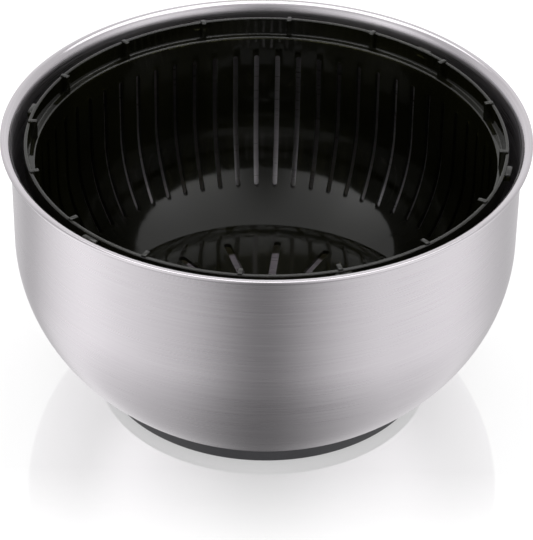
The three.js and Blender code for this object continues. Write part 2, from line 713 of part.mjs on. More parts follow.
const discScrewSeat = discBottom - disc.hubDrop - gap;
const headRoom = highGear - gap; // underside of the segment, where its screw sits
lidGroup.add(
  named("lid_shell", lidShellSolid(), finishes.black),
  named("lid_seal", lidSealSolid(), finishes.rubber),
  named("lever", leverSolid(), finishes.grey),
  named("lever_grip", leverGripSolid(), finishes.rubber),
  named("lever_bush", movedTo(leverBushSolid(), leverPlace), finishes.acetal),
  named("lever_spring", leverSpringSolid(), finishes.steel),
  named("gear_segment", segmentSolid(), finishes.acetal),
  named("segment_screw", movedTo(screwSolid(headRoom, screw.bite - 2), leverPlace), finishes.steel),
  named("idler_gear", idlerSolid(), finishes.acetal),
  named("idler_axle", idlerAxleSolid(), finishes.steel),
  named("drive_pinion", pinionSolid(), finishes.acetal),
  named("shaft_bush_upper", shaftBushSolid(shaftBossBottom, highGearTop), finishes.acetal),
  named("shaft_bush_lower", shaftBushSolid(coverBottom, coverTop), finishes.acetal),
  named("carrier_disc", carrierSolid(), finishes.smoke),
  named("carrier_screw", screwSolid(discScrewSeat, screw.bite, screw.head + 1.4), finishes.steel),
  named("gearbox_cover", gearboxCoverSolid(), finishes.grey),
  named("brake_button", brakeButtonSolid(), finishes.grey),
  named("brake_spring", brakeSpringSolid(), finishes.steel),
  named("brake_pad", brakePadSolid(), finishes.rubber),
  named("lock_slider", lockSliderSolid(), finishes.grey),
);
postPlaces.forEach((place, i) => {
  const fastener = screwSolid(coverBottom - gap, screw.bite - 1, screw.head, 1);
  lidGroup.add(named(`cover_screw_${i + 1}`, movedTo(fastener, place), finishes.steel));
});

lidGroup.rotation.y = Math.PI;
lidGroup.position.set(lidBeside, 0, lidTop);
spinner.add(lidGroup);

export default spinner;
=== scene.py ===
import json
import math

import bmesh
import bpy
from mathutils import Matrix, Vector

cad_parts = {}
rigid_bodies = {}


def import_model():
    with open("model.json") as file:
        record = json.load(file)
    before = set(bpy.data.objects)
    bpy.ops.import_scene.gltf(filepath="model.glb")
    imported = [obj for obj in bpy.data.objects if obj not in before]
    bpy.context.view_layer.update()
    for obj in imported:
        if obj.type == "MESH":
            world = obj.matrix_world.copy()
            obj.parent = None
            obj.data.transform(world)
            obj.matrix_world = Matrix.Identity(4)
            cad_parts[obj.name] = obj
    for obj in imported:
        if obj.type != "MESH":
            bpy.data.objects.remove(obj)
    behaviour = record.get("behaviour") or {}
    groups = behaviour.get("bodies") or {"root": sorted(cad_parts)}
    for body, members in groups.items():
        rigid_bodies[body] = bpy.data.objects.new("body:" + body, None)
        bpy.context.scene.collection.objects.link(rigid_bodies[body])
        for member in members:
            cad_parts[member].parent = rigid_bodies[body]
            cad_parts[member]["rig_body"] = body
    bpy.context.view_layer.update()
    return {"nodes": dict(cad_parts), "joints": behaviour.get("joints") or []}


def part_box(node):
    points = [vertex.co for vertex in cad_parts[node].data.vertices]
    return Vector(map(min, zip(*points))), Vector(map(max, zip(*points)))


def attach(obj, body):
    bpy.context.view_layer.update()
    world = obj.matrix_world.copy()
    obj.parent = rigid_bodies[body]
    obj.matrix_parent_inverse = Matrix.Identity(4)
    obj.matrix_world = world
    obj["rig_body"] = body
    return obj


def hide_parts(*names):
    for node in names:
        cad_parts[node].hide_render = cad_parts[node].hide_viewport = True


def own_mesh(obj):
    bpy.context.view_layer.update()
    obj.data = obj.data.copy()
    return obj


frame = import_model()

# The salad spinner's looks: a brushed steel bowl with its basket, and the lid lying on its back beside it.
# Sizes in the dictionaries are millimetres, and everything is made in metres.
mm = 0.001
fullTurn = 2 * math.pi

print("frame loaded:", len(frame["nodes"]), "nodes")


def fromHex(code):
    channels = [int(code[i:i + 2], 16) / 255 for i in (0, 2, 4)]
    linear = [c / 12.92 if c <= 0.04045 else ((c + 0.055) / 1.055) ** 2.4 for c in channels]
    return linear + [1.0]


def addNode(tree, kind, inputs=None, **settings):
    node = tree.nodes.new(kind)
    for name, value in settings.items():
        setattr(node, name, value)
    for name, value in (inputs or {}).items():
        if isinstance(value, bpy.types.NodeSocket):
            tree.links.new(value, node.inputs[name])
        else:
            node.inputs[name].default_value = value
    return node


def startMaterial(name, inputs):
    material = bpy.data.materials.new(name)
    material.use_nodes = True
    tree = material.node_tree
    tree.nodes.clear()
    shader = addNode(tree, "ShaderNodeBsdfPrincipled", inputs)
    addNode(tree, "ShaderNodeOutputMaterial", {"Surface": shader.outputs[0]})
    place = addNode(tree, "ShaderNodeTexCoord").outputs["Object"]
    return material, tree, shader, place


def ranged(tree, value, fromLow, fromHigh, low, high):
    inputs = {"Value": value, "From Min": fromLow, "From Max": fromHigh, "To Min": low, "To Max": high}
    return addNode(tree, "ShaderNodeMapRange", inputs).outputs["Result"]


def mixedColour(tree, factor, first, second):
    mix = addNode(tree, "ShaderNodeMix", {0: factor, 6: first, 7: second}, data_type="RGBA")
    return mix.outputs[2]


def bumped(tree, shader, height, deep, strength=1.0):
    bump = addNode(tree, "ShaderNodeBump", {"Height": height, "Distance": deep * mm, "Strength": strength})
    tree.links.new(bump.outputs[0], shader.inputs["Normal"])


# Stainless sheet, spun and brushed round the bowl: fine level lines, and highlights that smear up and down
# the wall into soft upright bands. The folded lip is polished.
steelLook = {
    "tint": "d8d4d8", "darkTint": "cfcacf",
    "lineSpacing": 0.7, "strokes": 2.2, "lineDepth": 0.012,  # how far apart, how short and how deep the lines are
    "smoothest": 0.25, "roughest": 0.36, "haze": 0.015,
    "lipHeight": 141.6, "lipRoughness": 0.16,
}


def brushedStainless():
    look = steelLook
    material, tree, shader, place = startMaterial("stainlessBrushedRound", {
        "Metallic": 1.0, "Anisotropic": 0.7, "Anisotropic Rotation": 0.25})
    flat = addNode(tree, "ShaderNodeVectorMath", {0: place, 1: (1, 1, 0)}, operation="MULTIPLY").outputs[0]
    out = addNode(tree, "ShaderNodeVectorMath", {0: flat}, operation="LENGTH").outputs["Value"]
    way = addNode(tree, "ShaderNodeVectorMath", {0: flat}, operation="NORMALIZE").outputs[0]
    up = addNode(tree, "ShaderNodeSeparateXYZ", {0: place}).outputs[2]
    across = addNode(tree, "ShaderNodeMath", {0: out, 1: up}, operation="ADD").outputs[0]
    # real brush lines are a tenth of this apart, too fine to show
    lines = addNode(tree, "ShaderNodeMath", {0: across, 1: 1 / (look["lineSpacing"] * mm)},
                    operation="MULTIPLY").outputs[0]
    upright = addNode(tree, "ShaderNodeCombineXYZ", {2: lines}).outputs[0]
    level = addNode(tree, "ShaderNodeVectorMath", {0: way, "Scale": look["strokes"]},
                    operation="SCALE").outputs[0]
    weave = addNode(tree, "ShaderNodeVectorMath", {0: upright, 1: level}, operation="ADD").outputs[0]
    grain = addNode(tree, "ShaderNodeTexNoise", {"Vector": weave, "Scale": 1.0, "Detail": 3.0,
                                                 "Roughness": 0.65}).outputs[0]
    haze = addNode(tree, "ShaderNodeTexNoise", {"Vector": place, "Scale": 14.0, "Detail": 2.0}).outputs[0]
    streak = ranged(tree, grain, 0.35, 0.65, 0, 1)
    tint = mixedColour(tree, streak, fromHex(look["darkTint"]), fromHex(look["tint"]))
    tree.links.new(tint, shader.inputs["Base Color"])
    brushed = ranged(tree, grain, 0.3, 0.7, look["smoothest"], look["roughest"])
    uneven = ranged(tree, haze, 0.3, 0.7, -look["haze"], look["haze"])
    hazed = addNode(tree, "ShaderNodeMath", {0: brushed, 1: uneven}, operation="ADD").outputs[0]
    lip = ranged(tree, up, (look["lipHeight"] - 0.6) * mm, look["lipHeight"] * mm, 0, 1)
    roughness = addNode(tree, "ShaderNodeMix", {0: lip, 2: hazed, 3: look["lipRoughness"]}).outputs[0]
    tree.links.new(roughness, shader.inputs["Roughness"])
    tangent = addNode(tree, "ShaderNodeTangent", direction_type="RADIAL", axis="Z").outputs[0]
    tree.links.new(tangent, shader.inputs["Tangent"])
    bumped(tree, shader, grain, look["lineDepth"])
    return material


# See-through smoke SAN, injection moulded and polished: near black where walls lie behind each other, olive
# where light comes through one, with sharp bright lines on its edges.
smokeLook = {"tint": "2a2a18", "darkTint": "1f1f12", "seeThrough": 0.8, "smoothest": 0.05, "roughest": 0.11,
             "rippleDepth": 0.03}


def smokeSan():
    look = smokeLook
    material, tree, shader, place = startMaterial("sanSmokeMoulded", {
        "IOR": 1.57, "Transmission Weight": look["seeThrough"], "Metallic": 0.0})
    flow = addNode(tree, "ShaderNodeTexNoise", {"Vector": place, "Scale": 22.0, "Detail": 2.0}).outputs[0]
    swirl = ranged(tree, flow, 0.35, 0.65, 0, 1)
    tint = mixedColour(tree, swirl, fromHex(look["darkTint"]), fromHex(look["tint"]))
    tree.links.new(tint, shader.inputs["Base Color"])
    roughness = ranged(tree, flow, 0.3, 0.7, look["smoothest"], look["roughest"])
    tree.links.new(roughness, shader.inputs["Roughness"])
    ripple = addNode(tree, "ShaderNodeTexNoise", {"Vector": place, "Scale": 160.0, "Detail": 1.0}).outputs[0]
    bumped(tree, shader, ripple, look["rippleDepth"], 0.5)
    return material


# Moulded plastics and rubbers: a fine spark-eroded grain in the bump and roughness, and a faint uneven tint and
# shine from the flow in the mould. Grain size and depth are millimetres.
def moulded(name, light, dark, roughness, grainSize, deep, ior=1.5):
    material, tree, shader, place = startMaterial(name, {"IOR": ior, "Metallic": 0.0})
    grain = addNode(tree, "ShaderNodeTexNoise", {
        "Vector": place, "Scale": 1 / (grainSize * mm), "Detail": 2.0, "Roughness": 0.6}).outputs[0]
    flow = addNode(tree, "ShaderNodeTexNoise", {"Vector": place, "Scale": 18.0, "Detail": 3.0}).outputs[0]
    both = addNode(tree, "ShaderNodeMath", {0: grain, 1: flow}, operation="MULTIPLY").outputs[0]
    tint = mixedColour(tree, ranged(tree, both, 0.15, 0.35, 0, 1), fromHex(dark), fromHex(light))
    tree.links.new(tint, shader.inputs["Base Color"])
    worn = ranged(tree, both, 0.12, 0.4, roughness - 0.05, roughness + 0.06)
    tree.links.new(worn, shader.inputs["Roughness"])
    bumped(tree, shader, grain, deep)
    return material


# Turned, drawn or rolled steel: bright, with fine lines along the way that it was drawn.
def drawnSteel(name, tint, roughness, lineSpacing):
    material, tree, shader, place = startMaterial(name, {"Metallic": 1.0, "Anisotropic": 0.3})
    stretched = addNode(tree, "ShaderNodeMapping", {"Vector": place, "Scale": (1.0, 1.0, 0.15)}).outputs[0]
    lines = addNode(tree, "ShaderNodeTexNoise", {"Vector": stretched, "Scale": 1 / (lineSpacing * mm),
                                                 "Detail": 2.0}).outputs[0]
    colour = mixedColour(tree, lines, fromHex(tint), fromHex("e4e5e6"))
    tree.links.new(colour, shader.inputs["Base Color"])
    tree.links.new(ranged(tree, lines, 0.3, 0.7, roughness, roughness + 0.12), shader.inputs["Roughness"])
    bumped(tree, shader, lines, 0.01)
    return material


steelSheet = brushedStainless()
smoke = smokeSan()
blackShell = moulded("absBlackSatinMoulded", "1b1b1d", "131315", 0.3, 0.5, 0.012)
footRubber = moulded("tpeCharcoalMoulded", "3f3f42", "333336", 0.62, 0.6, 0.03)
softBlack = moulded("siliconeBlackMoulded", "2a2a2c", "202022", 0.55, 0.7, 0.03, ior=1.41)
greyShell = moulded("absGreySparkEroded", "5f6063", "535457", 0.42, 0.5, 0.02)
acetal = moulded("acetalNaturalMoulded", "e9e6dd", "dedacd", 0.38, 0.8, 0.012, ior=1.48)
springSteel = drawnSteel("springSteelDrawn", "a5a7a9", 0.24, 0.6)
zincSteel = drawnSteel("screwSteelZincPlated", "b9bcbf", 0.3, 0.5)
print("materials made")


def startProfile(corners, closed=False):
    # corners are [radius, height] or [radius, height, rounding]
    bm = bmesh.new()
    verts = [bm.verts.new((corner[0] * mm, 0, corner[1] * mm)) for corner in corners]
    for first, second in zip(verts, verts[1:]):
        bm.edges.new((first, second))
    if closed:
        bm.edges.new((verts[-1], verts[0]))
    for vert, corner in zip(verts, corners):
        if len(corner) > 2:
            bmesh.ops.bevel(bm, geom=[vert], offset=corner[2] * mm, offset_type="OFFSET", affect="VERTICES",
                            segments=4 if corner[2] < 3 else 12, profile=0.5, material=-1)
    return bm


def turned(corners, steps=96, closed=False):
    bm = startProfile(corners, closed)
    bmesh.ops.spin(bm, geom=bm.verts[:] + bm.edges[:], cent=(0, 0, 0), axis=(0, 0, 1), dvec=(0, 0, 0),
                   angle=fullTurn, steps=steps, use_merge=True, use_duplicate=False)
    bmesh.ops.remove_doubles(bm, verts=bm.verts, dist=1e-6)
    bmesh.ops.recalc_face_normals(bm, faces=bm.faces)
    return bm


# A block with rounded edges, laid along X from the axis outwards.
def block(lowX, highX, halfY, low, high, rounding=0.3, segments=2):
    bm = bmesh.new()
    bmesh.ops.create_cube(bm, size=1.0)
    size = Vector((highX - lowX, 2 * halfY, high - low)) * mm
    bmesh.ops.scale(bm, vec=size, verts=bm.verts)
    bmesh.ops.translate(bm, vec=Vector(((lowX + highX) / 2, 0, (low + high) / 2)) * mm, verts=bm.verts)
    if rounding:
        bmesh.ops.bevel(bm, geom=bm.edges[:], offset=rounding * mm, offset_type="OFFSET", affect="EDGES",
                        segments=segments, profile=0.5, material=-1)
    return bm


def roundEdges(bm, offset, chosen, segments=3):
    edges = [edge for edge in bm.edges if chosen(edge)]
    bmesh.ops.bevel(bm, geom=edges, offset=offset * mm, offset_type="OFFSET", affect="EDGES",
                    segments=segments, profile=0.5, material=-1)


def addTo(bm, other, degrees=0.0, place=(0, 0)):
    turn = Matrix.Rotation(math.radians(degrees), 4, "Z")
    move = Matrix.Translation((place[0] * mm, place[1] * mm, 0))
    bmesh.ops.transform(other, matrix=move @ turn, verts=other.verts)
    mesh = bpy.data.meshes.new("part")
    other.to_mesh(mesh)
    other.free()
    bm.from_mesh(mesh)
    bpy.data.meshes.remove(mesh)
    return bm


def around(bm, makeOne, count, phase):
    for i in range(count):
        addTo(bm, makeOne(), phase + 360 * i / count)
    return bm


def newObject(name, bm):
    mesh = bpy.data.meshes.new(name)
    bm.to_mesh(mesh)
    bm.free()
    obj = bpy.data.objects.new(name, mesh)
    bpy.context.scene.collection.objects.link(obj)
    return obj


def combined(obj, bm, operation):
    tool = newObject("tool", bm)
    modifier = obj.modifiers.new("combine", "BOOLEAN")
    modifier.operation = operation
    modifier.solver = "EXACT"
    modifier.use_self = operation == "UNION"
    modifier.object = tool
    graph = bpy.context.evaluated_depsgraph_get()
    made = bpy.data.meshes.new_from_object(obj.evaluated_get(graph))
    obj.modifiers.clear()
    old = obj.data
    obj.data = made
    bpy.data.meshes.remove(old)
    bpy.data.objects.remove(tool)
    return obj


# The lid is drawn closed over the bowl. Its hinge's half turn lays it on its back.
lidHinge = Vector(next(joint for joint in frame["joints"] if joint["name"] == "lid_turn")["pos_m"])
layOnBack = Matrix.Translation(lidHinge) @ Matrix.Rotation(math.pi, 4, "Y") @ Matrix.Translation(-lidHinge)


def finishPiece(obj, material, body, nodes, onLid=False, sharp=35):
    mesh = obj.data
    if onLid:
        mesh.transform(layOnBack)
    mesh.name = obj.name
    mesh.materials.clear()
    mesh.materials.append(material)
    mesh.polygons.foreach_set("material_index", [0] * len(mesh.polygons))
    mesh.polygons.foreach_set("use_smooth", [True] * len(mesh.polygons))
    mesh.set_sharp_from_angle(angle=math.radians(sharp))
    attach(obj, body)
    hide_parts(*nodes)
    print(obj.name, len(mesh.polygons), "faces")
    return obj


# Points up the lower quarter of an ellipse, from a height to its widest place.
def curveUp(halfWidth, halfHeight, widest, fromHeight, steps):
    start = math.asin((widest - fromHeight) / halfHeight)
    turns = [start * (1 - i / steps) for i in range(steps + 1)]
    return [[halfWidth * math.cos(turn), widest - halfHeight * math.sin(turn)] for turn in turns]


# A quarter round that leads an upright wall out to a level lip.
def flareOut(fromRadius, toRadius, top, height, steps=8):
    turns = [math.pi / 2 * i / steps for i in range(steps + 1)]
    return [[toRadius - (toRadius - fromRadius) * math.cos(turn), top - height * (1 - math.sin(turn))]
            for turn in turns]


bowlSizes = {
    "wallRadius": 127.6, "wall": 0.8, "rim": 143.3, "curveTop": 85, "curveDepth": 106, "bottom": 7.3, "flat": 78,
    "flare": 4.7, "rimRadius": 132.5, "hem": 1.9, "hemWidth": 1.5, "hemEdge": 0.7,
    "coneBase": 17, "coneTop": [[7, 27.1, 1.5], [3.5, 29.9], [0, 30.5]],
    "coneBaseUnder": 16.2, "coneTopUnder": [[0, 29.7], [3.5, 29.1], [6.2, 27.1, 1.5]], "coneFillet": 1.5,
    "steps": 192,
}


def bowlPiece():
    s = bowlSizes
    inner = s["wallRadius"] - s["wall"]
    floor = s["bottom"] + s["wall"]
    hemInner = s["rimRadius"] - s["hemWidth"]
    corners = [
        *s["coneTopUnder"], [s["coneBaseUnder"], s["bottom"], s["coneFillet"]], [s["flat"], s["bottom"]],
        *curveUp(s["wallRadius"], s["curveDepth"], s["curveTop"], s["bottom"], 26),
        *flareOut(s["wallRadius"], hemInner - 0.1, s["rim"] - s["wall"], s["flare"]),
        [hemInner, s["rim"] - s["hem"], 0.4],
        [s["rimRadius"], s["rim"] - s["hem"], s["hemEdge"]],
        [s["rimRadius"], s["rim"], s["hemEdge"]],
        *flareOut(inner, hemInner, s["rim"], s["flare"] + s["wall"])[::-1],
        *curveUp(inner, s["curveDepth"] - s["wall"], s["curveTop"], floor, 26)[::-1],
        [s["coneBase"], floor, s["coneFillet"]], *s["coneTop"],
    ]
    obj = newObject("bowlShell", turned(corners, s["steps"]))
    return finishPiece(obj, steelSheet, "bowl", ["bowl"])


bowlPiece()


footSizes = {
    "radius": 86.0, "height": 7, "edge": 1.5, "topEdge": 1, "ring": 12, "recess": 0.8, "steps": 160,
    "groove": [[4, 0, 0.3], [4.4, 0.5, 0.2], [5.2, 0.5, 0.2], [5.6, 0, 0.3]],  # outwards from the ring's inside
    "ribs": 36, "ribStart": 24, "ribHalf": 0.6, "ribLow": 0.2, "ribHigh": 1.4,
}


def footPiece():
    s = footSizes
    inner = s["radius"] - s["ring"]
    corners = [
        [0, s["recess"]], [inner - 3, s["recess"], 0.4], [inner, 0, 0.5],
        *[[inner + out, up, rounding] for out, up, rounding in s["groove"]],
        [s["radius"], 0, s["edge"]], [s["radius"], s["height"], s["topEdge"]], [0, s["height"]],
    ]
    obj = newObject("footRing", turned(corners, s["steps"]))

    def rib():
        return block(s["ribStart"], inner - 6, s["ribHalf"], s["ribLow"], s["ribHigh"], 0.2)
    combined(obj, around(bmesh.new(), rib, s["ribs"], 0), "UNION")
    return finishPiece(obj, footRubber, "bowl", ["base_pad"])


footPiece()


basketSizes = {
    "ring": 121.0, "ringWall": 2.0, "top": 138.8, "ledge": 129.3, "wallRadius": 117.7, "wall": 2.2,
    "floor": 24.0, "floorWall": 2.2, "curveTop": 85, "curveDepth": 93, "steps": 160,
    "socketTop": 33.7, "socketFoot": 20.7, "socketHead": 12.6, "socketSides": 6,
    "hubCoverFoot": 21.1, "hubCover": [[16.1, 34.7, 1.2], [14.1, 35.9, 0.8], [0, 35.9]],
}
ribSizes = {"count": 16, "width": 2.4, "depth": 3.0, "phase": 17, "top": 139.6, "edge": 0.3,
            "rounding": 0.45}
tabSizes = {"count": 6, "width": 9, "height": 5, "reach": 2.6, "phase": 47.5, "rounding": 0.8}
slotSizes = {"count": 64, "width": 2.6, "low": 42, "high": 118}
drainSizes = {"count": 16, "width": 4, "inner": 32.1, "outer": 72}


def openSlot():
    s = slotSizes
    wall = basketSizes["wallRadius"]
    bm = block(wall / 2, wall + 1, s["width"] / 2, s["low"], s["high"], 0)
    roundEdges(bm, s["width"] / 2 - 0.1, lambda e: abs((e.verts[0].co - e.verts[1].co).x) > 10 * mm, 3)
    return bm


def openDrain():
    s = drainSizes
    low = basketSizes["floor"] - 1
    bm = block(s["inner"], s["outer"], s["width"] / 2, low, low + basketSizes["floorWall"] + 2, 0)
    roundEdges(bm, s["width"] / 2 - 0.1, lambda e: abs((e.verts[0].co - e.verts[1].co).z) > 1 * mm, 6)
    return bm


def basketPiece():
    s = basketSizes
    inside = s["wallRadius"] - s["wall"]
    ringInside = s["ring"] - s["ringWall"]
    floorTop = s["floor"] + s["floorWall"]
    ledgeBottom = s["ledge"] - s["wall"]
    corners = [
        [0, s["floor"]],
        *curveUp(s["wallRadius"], s["curveDepth"], s["curveTop"], s["floor"], 18),
        [s["wallRadius"], ledgeBottom, 0.8], [s["ring"], ledgeBottom, 0.8],
        [s["ring"], s["top"], 0.7], [ringInside, s["top"], 0.7], [ringInside, s["ledge"], 0.6],
        [inside, s["ledge"], 0.9],
        *curveUp(inside, s["curveDepth"] - s["wall"], s["curveTop"], floorTop, 18)[::-1],
        [s["hubCoverFoot"], floorTop, 2.5], *s["hubCover"],
    ]
    obj = newObject("basketShell", turned(corners, s["steps"]))

    def rib():
        return block(ringInside - ribSizes["depth"], s["ring"] - ribSizes["edge"], ribSizes["width"] / 2,
                     s["ledge"] - 1, ribSizes["top"], ribSizes["rounding"], 3)

    def tab():
        return block(s["ring"] - 1, s["ring"] + tabSizes["reach"], tabSizes["width"] / 2,
                     s["top"] - tabSizes["height"], s["top"] - 1, tabSizes["rounding"], 3)
    extras = around(bmesh.new(), rib, ribSizes["count"], ribSizes["phase"])
    around(extras, tab, tabSizes["count"], tabSizes["phase"])
    combined(obj, extras, "UNION")
    cuts = around(bmesh.new(), openSlot, slotSizes["count"], ribSizes["phase"] + 180 / slotSizes["count"])
    around(cuts, openDrain, drainSizes["count"], ribSizes["phase"])
    low, high = s["floor"] - 1, s["socketTop"]
    addTo(cuts, turned([[0, low], [s["socketFoot"], low], [s["socketHead"], high], [0, high]], s["socketSides"]))
    combined(obj, cuts, "DIFFERENCE")
    return finishPiece(obj, smoke, "basket", ["basket"])


basketPiece()


lidSizes = {
    "radius": 131.0, "inside": 128.4, "foot": 143.6, "web": 145.6, "skirt": (119.4, 121.4), "skirtLow": 141.3,
    "deck": (165.4, 168.0), "edge": (112.0, 125.0), "top": 175.0, "shoulder": 160.0, "steps": 160,
    "wall": 2.6, "webWall": 2, "lean": 3, "bend": 170.5,
    "groove": [(0, 3.2, 0.3), (0.5, 3.6, 0.1), (0.5, 4.4, 0.1), (0, 4.8, 0.3)],
}
leverPlace = (-60.0, 0.0)
idlerPlace = (-21.6, 28.8)
brakePlace = (0.0, -81.2)
shaftPlace = (0.0, 0.0)
bossTop = 167
# place, radius, bottom, rounding and steps
lidBosses = [(leverPlace, 9.8, 164.2, 0.5, 32), (shaftPlace, 8.8, 158.5, 0.5, 32),
             (brakePlace, 16.8, 158, 0.8, 48)]
# place, radius, bottom, top and steps
lidHoles = [(leverPlace, 7.2, 163.2, 169, 32), (shaftPlace, 6.2, 157.5, 164.2, 32),
            (idlerPlace, 2.8, 164.4, 166.9, 32), (brakePlace, 15.0, 160, 169, 64), (brakePlace, 4.3, 157, 161, 32)]
screwPost = {"radius": 4, "bottom": 150.3, "hole": 1.8, "holeBottom": 149, "holeTop": 159.8}
coverScrews = [f"cover_screw_{number}" for number in range(1, 5)]
leverSizes = {
    "length": 149.97, "parked": -30, "hub": 17, "tip": 11, "tipRound": 9.5,
    "low": 168.8, "high": 173.2, "edge": 1.1,
    "waist": (67.5, 7.9, 22),  # distance along it, half width and rounding
    # radius or half width, bottom and top
    "shaft": (5, 163.8, 172), "square": (3.5, 158.8, 164.3), "pocket": (9.2, 167.8, 169.6),
    "screwHole": (1.8, 157.5, 167.5),
}
lockSizes = {
    "turn": -23.7, "start": 152.27, "end": 161.37, "travel": 9,
    # half width, bottom and top
    "thumb": (4, 168.3, 173.3), "neck": (1.6, 164.4, 169.3), "foot": (3.4, 163.4, 165.1), "slot": (1.9, 164, 169),
    "grooves": 3, "firstGroove": 2.3, "grooveStep": 2.2, "grooveLow": 172.6,
}


def cylinder(radius, low, high, rounding=0.0, steps=32):
    edge = [rounding] if rounding else []
    return turned([[0, low], [radius, low, *edge], [radius, high, *edge], [0, high]], steps)


# A closed outline of [x, y] or [x, y, rounding] corners, made a plate with rounded edges.
def plate(corners, low, high, rounding):
    bm = startProfile(corners, closed=True)
    bmesh.ops.rotate(bm, cent=(0, 0, 0), matrix=Matrix.Rotation(-math.pi / 2, 3, "X"), verts=bm.verts)
    bmesh.ops.scale(bm, vec=(1, -1, 1), verts=bm.verts)
    bmesh.ops.translate(bm, vec=(0, 0, low * mm), verts=bm.verts)
    bmesh.ops.contextual_create(bm, geom=bm.edges[:])
    made = bmesh.ops.extrude_face_region(bm, geom=bm.faces[:])["geom"]
    raised = [v for v in made if isinstance(v, bmesh.types.BMVert)]
    bmesh.ops.translate(bm, vec=(0, 0, (high - low) * mm), verts=raised)
    bmesh.ops.recalc_face_normals(bm, faces=bm.faces)
    roundEdges(bm, rounding, lambda e: abs((e.verts[0].co - e.verts[1].co).z) < 0.01 * mm)
    return bm


# Where a node on the lid stands in the closed lid.
def closedPlace(node):
    low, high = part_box(node)
    return layOnBack @ ((low + high) / 2) / mm


def lidPiece():
    s = lidSizes
    skirtIn, skirtOut = s["skirt"]
    deckLow, deckTop = s["deck"]
    edgeIn, edgeOut = s["edge"]
    wall = s["wall"]
    corners = [
        # the inside, from the middle of the deck out and down
        [0, deckLow], [edgeIn + wall, deckLow, 1.2], [edgeIn + 3.4, s["top"] - wall, 1.2],
        [edgeOut - wall, s["top"] - wall, 1.2], [s["inside"] - 1, s["shoulder"] + 4, 1],
        [s["inside"], s["shoulder"], 1], [s["inside"], s["web"] + s["webWall"], 0.6],
        [skirtIn, s["web"] + s["webWall"], 0.6], [skirtIn, s["skirtLow"], 0.7],
        [skirtOut, s["skirtLow"], 0.7], [skirtOut, s["web"], 0.4], [s["inside"], s["web"], 0.4],
        [s["inside"], s["foot"], 0.4],
        # the outside, with a fine groove above the foot
        [s["radius"], s["foot"], 0.8], *[[s["radius"] - deep, s["foot"] + up, rounding]
                                         for deep, up, rounding in s["groove"]],
        [s["radius"], s["shoulder"], 5], [s["radius"] - s["lean"], s["bend"], 2.6],
        [edgeOut, s["top"], 2.2], [edgeIn + 1.6, s["top"], 1.2], [edgeIn + 0.4, deckTop, 2.0], [0, deckTop],
    ]
    obj = newObject("lidCover", turned(corners, s["steps"]))
    bosses = bmesh.new()
    for place, radius, low, rounding, steps in lidBosses:
        addTo(bosses, cylinder(radius, low, bossTop, rounding, steps), 0, place)
    holes = bmesh.new()
    for place, radius, low, high, steps in lidHoles:
        addTo(holes, cylinder(radius, low, high, 0, steps), 0, place)
    post = screwPost
    for screw in coverScrews:
        place = closedPlace(screw)[:2]
        addTo(bosses, cylinder(post["radius"], post["bottom"], bossTop, 0.5, 24), 0, place)
        addTo(holes, cylinder(post["hole"], post["holeBottom"], post["holeTop"], 0, 16), 0, place)
    combined(obj, bosses, "UNION")
    lock = lockSizes
    lockSlot = block(lock["start"] - lock["travel"], lock["end"] + 0.6, *lock["slot"], 0)
    addTo(holes, lockSlot, lock["turn"], leverPlace)
    combined(obj, holes, "DIFFERENCE")
    return finishPiece(obj, blackShell, "lid", ["lid_shell"], onLid=True)


# a flat ring with a thin lip that leans out to the bowl, as [radius, height, rounding]
gasketSizes = {
    "profile": [[121.7, 141.8, 0.4], [124.8, 141.8, 0.5], [125.6, 142.6, 0.2], [126.1, 142.3, 0.2],
                [128.1, 143.6, 0.4], [128.1, 145.2, 0.3], [121.7, 145.2, 0.3]],
    "steps": 160,
}


def gasketPiece():
    obj = newObject("lidGasket", turned(gasketSizes["profile"], gasketSizes["steps"], closed=True))
    return finishPiece(obj, softBlack, "lid", ["lid_seal"], onLid=True)


def leverPiece():
    s = leverSizes
    waist, waistHalf, waistRound = s["waist"]
    hubRound = s["hub"] - 0.1
    outline = [[-s["hub"], -s["hub"], hubRound], [waist, -waistHalf, waistRound],
               [s["length"], -s["tip"], s["tipRound"]], [s["length"], s["tip"], s["tipRound"]],
               [waist, waistHalf, waistRound], [-s["hub"], s["hub"], hubRound]]
    arm = plate(outline, s["low"], s["high"], s["edge"])
    obj = newObject("leverArm", addTo(bmesh.new(), arm, s["parked"], leverPlace))
    shaft = addTo(bmesh.new(), cylinder(*s["shaft"]), 0, leverPlace)
    half, low, high = s["square"]
    addTo(shaft, block(-half, half, half, low, high, 0.2), s["parked"], leverPlace)
    pocket = addTo(bmesh.new(), cylinder(*s["pocket"]), 0, leverPlace)
    combined(obj, pocket, "DIFFERENCE")
    combined(obj, shaft, "UNION")
    screwHole = addTo(bmesh.new(), cylinder(*s["screwHole"], 0, 16), 0, leverPlace)
    combined(obj, screwHole, "DIFFERENCE")
    return finishPiece(obj, greyShell, "lever", ["lever"], onLid=True)


gripSizes = {
    "start": 93.5, "end": 142.0, "halfWidth": 6.5, "low": 173.5, "high": 174.4,
    "grooves": 9, "firstGroove": 9, "grooveStep": 3.8, "grooveHalf": 4.4, "grooveDeep": 0.4,
}


def gripPiece():
    s = gripSizes
    rounding = s["halfWidth"] - 0.05
    outline = [[x, y, rounding] for x, y in ((s["start"], -s["halfWidth"]), (s["end"], -s["halfWidth"]),
                                             (s["end"], s["halfWidth"]), (s["start"], s["halfWidth"]))]
    pad = plate(outline, s["low"], s["high"], 0.3)
    obj = newObject("leverPad", addTo(bmesh.new(), pad, leverSizes["parked"], leverPlace))
    grooves = bmesh.new()
    for i in range(s["grooves"]):
        middle = s["start"] + s["firstGroove"] + i * s["grooveStep"]
        groove = block(middle - 0.5, middle + 0.5, s["grooveHalf"], s["high"] - s["grooveDeep"],
                       s["high"] + 1, 0.1, 1)
        addTo(grooves, groove, leverSizes["parked"], leverPlace)
    combined(obj, grooves, "DIFFERENCE")
    return finishPiece(obj, softBlack, "lever", ["lever_grip"], onLid=True)


